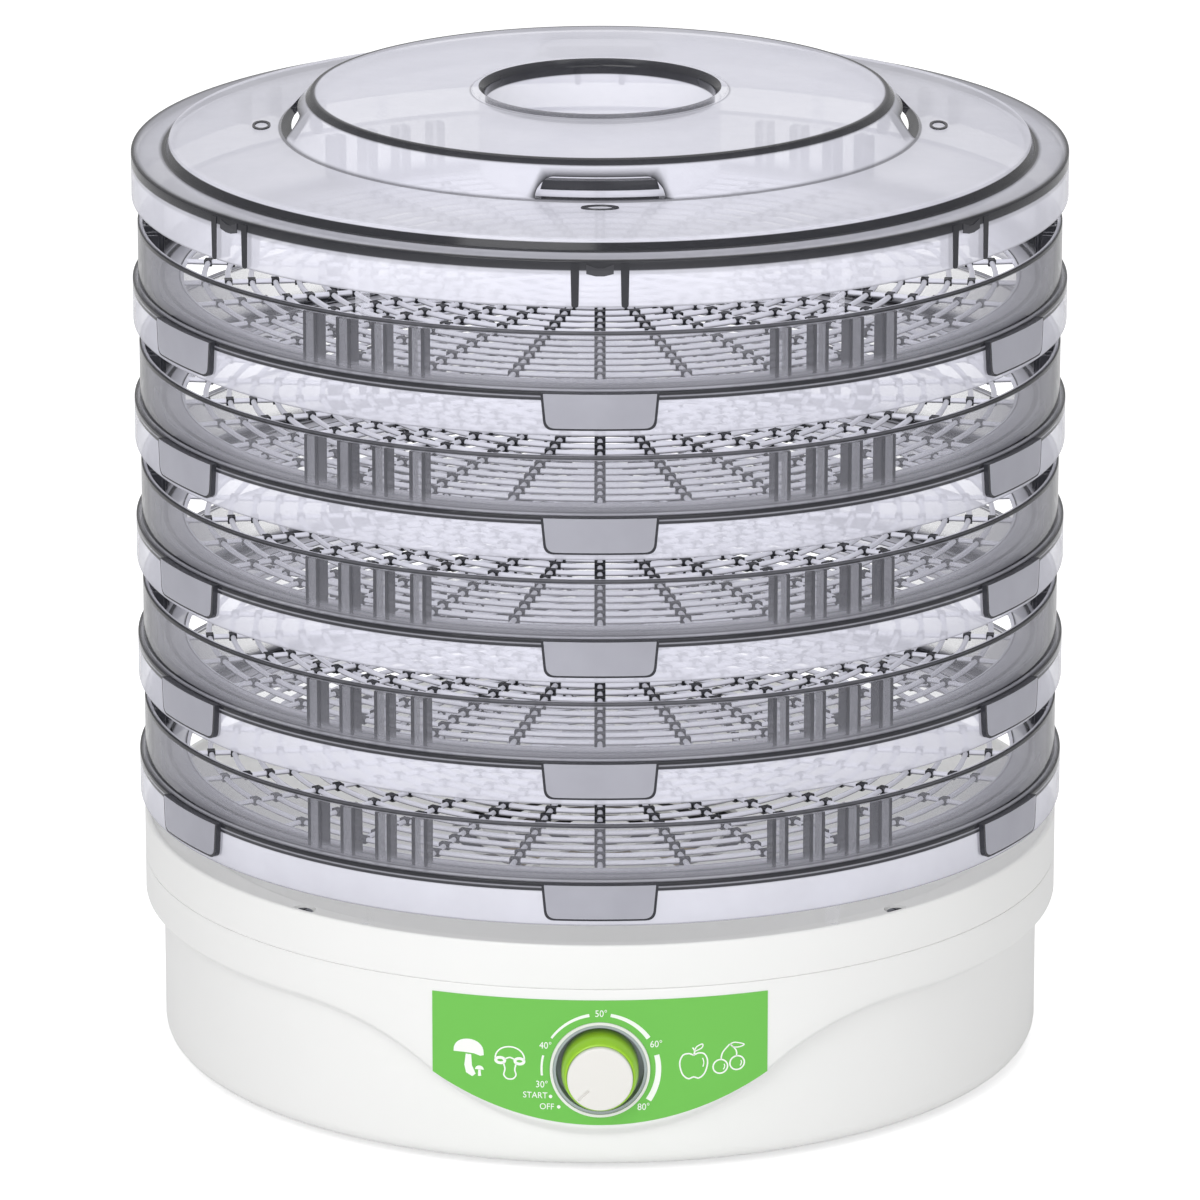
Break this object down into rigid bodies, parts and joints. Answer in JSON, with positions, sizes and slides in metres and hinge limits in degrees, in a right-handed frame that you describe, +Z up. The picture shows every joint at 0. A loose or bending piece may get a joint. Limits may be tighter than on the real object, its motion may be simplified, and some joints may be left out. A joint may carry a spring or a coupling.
{
  "type": "food dehydrator",
  "caption": "Round countertop food dehydrator: stacked clear drying trays and vented lid on a white fan-and-heater base with a front temperature knob.",
  "frame": {"origin": "on the surface the feet stand on, on the centre line of the round stack", "axes": "+Z up along the stack, -Y towards the front with the knob, +X to the right seen from the front"},
  "size_m": [0.33, 0.3453, 0.3495],
  "materials": {
    "white_shell": "glossy white moulding",
    "green_label": "printed green film, glossy",
    "white_trim": "glossy white",
    "grey_dial": "satin grey",
    "green_knob": "semi-gloss lime green",
    "dark_plastic": "matt black",
    "cream_terminal": "matt cream",
    "zinc_steel": "zinc plated",
    "lamination_steel": "varnished laminations",
    "copper_winding": "enamelled copper wire under tape",
    "bronze_bush": "sintered bronze",
    "rotor_aluminium": "turned",
    "grey_fan": "matt dark grey",
    "mica_board": "pressed mica sheet",
    "heater_wire": "oxidised resistance wire",
    "fuse_case": "ceramic white case",
    "rubber_foot": "matt",
    "clear_lid": "clear smoky polycarbonate",
    "clear_tray": "clear smoky polycarbonate"
  },
  "bodies": {
    "base": {"base_housing": "white_shell", "deck_cover": "white_shell", "outlet_grille": "white_shell", "panel_label": "green_label", "dial_ring": "white_trim", "dial_cup": "grey_dial", "thermostat_body": "dark_plastic", "thermostat_nut": "zinc_steel", "foot_1": "rubber_foot", "foot_2": "rubber_foot", "foot_3": "rubber_foot", "foot_4": "rubber_foot", "cord_gland": "dark_plastic", "gland_nut": "dark_plastic", "terminal_block": "cream_terminal", "terminal_screws": "zinc_steel", "motor_bracket": "zinc_steel", "motor_core": "lamination_steel", "motor_coil": "copper_winding", "motor_bridge": "zinc_steel", "bearing_lower": "bronze_bush", "bearing_upper": "bronze_bush", "motor_bolts": "zinc_steel", "fan_duct": "zinc_steel", "heater_frame": "mica_board", "heater_coil": "heater_wire", "thermal_fuse": "fuse_case", "deck_screws": "zinc_steel", "bracket_screws": "zinc_steel", "duct_screws": "zinc_steel"},
    "dial": {"thermostat_shaft": "zinc_steel", "knob_body": "green_knob", "knob_cap": "white_trim"},
    "fan": {"motor_shaft": "zinc_steel", "motor_rotor": "rotor_aluminium", "fan_impeller": "grey_fan", "fan_clip": "zinc_steel"},
    "tray_5_body": {"tray_5": "clear_tray"},
    "tray_4_body": {"tray_4": "clear_tray"},
    "tray_3_body": {"tray_3": "clear_tray"},
    "tray_2_body": {"tray_2": "clear_tray"},
    "tray_1_body": {"tray_1": "clear_tray"},
    "lid_body": {"lid": "clear_lid"}
  },
  "joints": [
    {"name": "knob_turn", "type": "hinge", "parent": "base", "child": "dial", "pos_m": [0, -0.1635, 0.0415], "axis": [0, 1, 0], "range_deg": [0, 270]},
    {"name": "fan_spin", "type": "hinge", "parent": "base", "child": "fan", "pos_m": [0, 0, 0.04], "axis": [0, 0, 1], "continuous": true},
    {"name": "tray_5_lift", "type": "slide", "parent": "base", "child": "tray_5_body", "axis": [0, 0, 1], "range_m": [0, 0.06]},
    {"name": "tray_4_lift", "type": "slide", "parent": "tray_5_body", "child": "tray_4_body", "axis": [0, 0, 1], "range_m": [0, 0.06]},
    {"name": "tray_3_lift", "type": "slide", "parent": "tray_4_body", "child": "tray_3_body", "axis": [0, 0, 1], "range_m": [0, 0.06]},
    {"name": "tray_2_lift", "type": "slide", "parent": "tray_3_body", "child": "tray_2_body", "axis": [0, 0, 1], "range_m": [0, 0.06]},
    {"name": "tray_1_lift", "type": "slide", "parent": "tray_2_body", "child": "tray_1_body", "axis": [0, 0, 1], "range_m": [0, 0.06]},
    {"name": "lid_lift", "type": "slide", "parent": "tray_1_body", "child": "lid_body", "axis": [0, 0, 1], "range_m": [0, 0.06]}
  ]
}
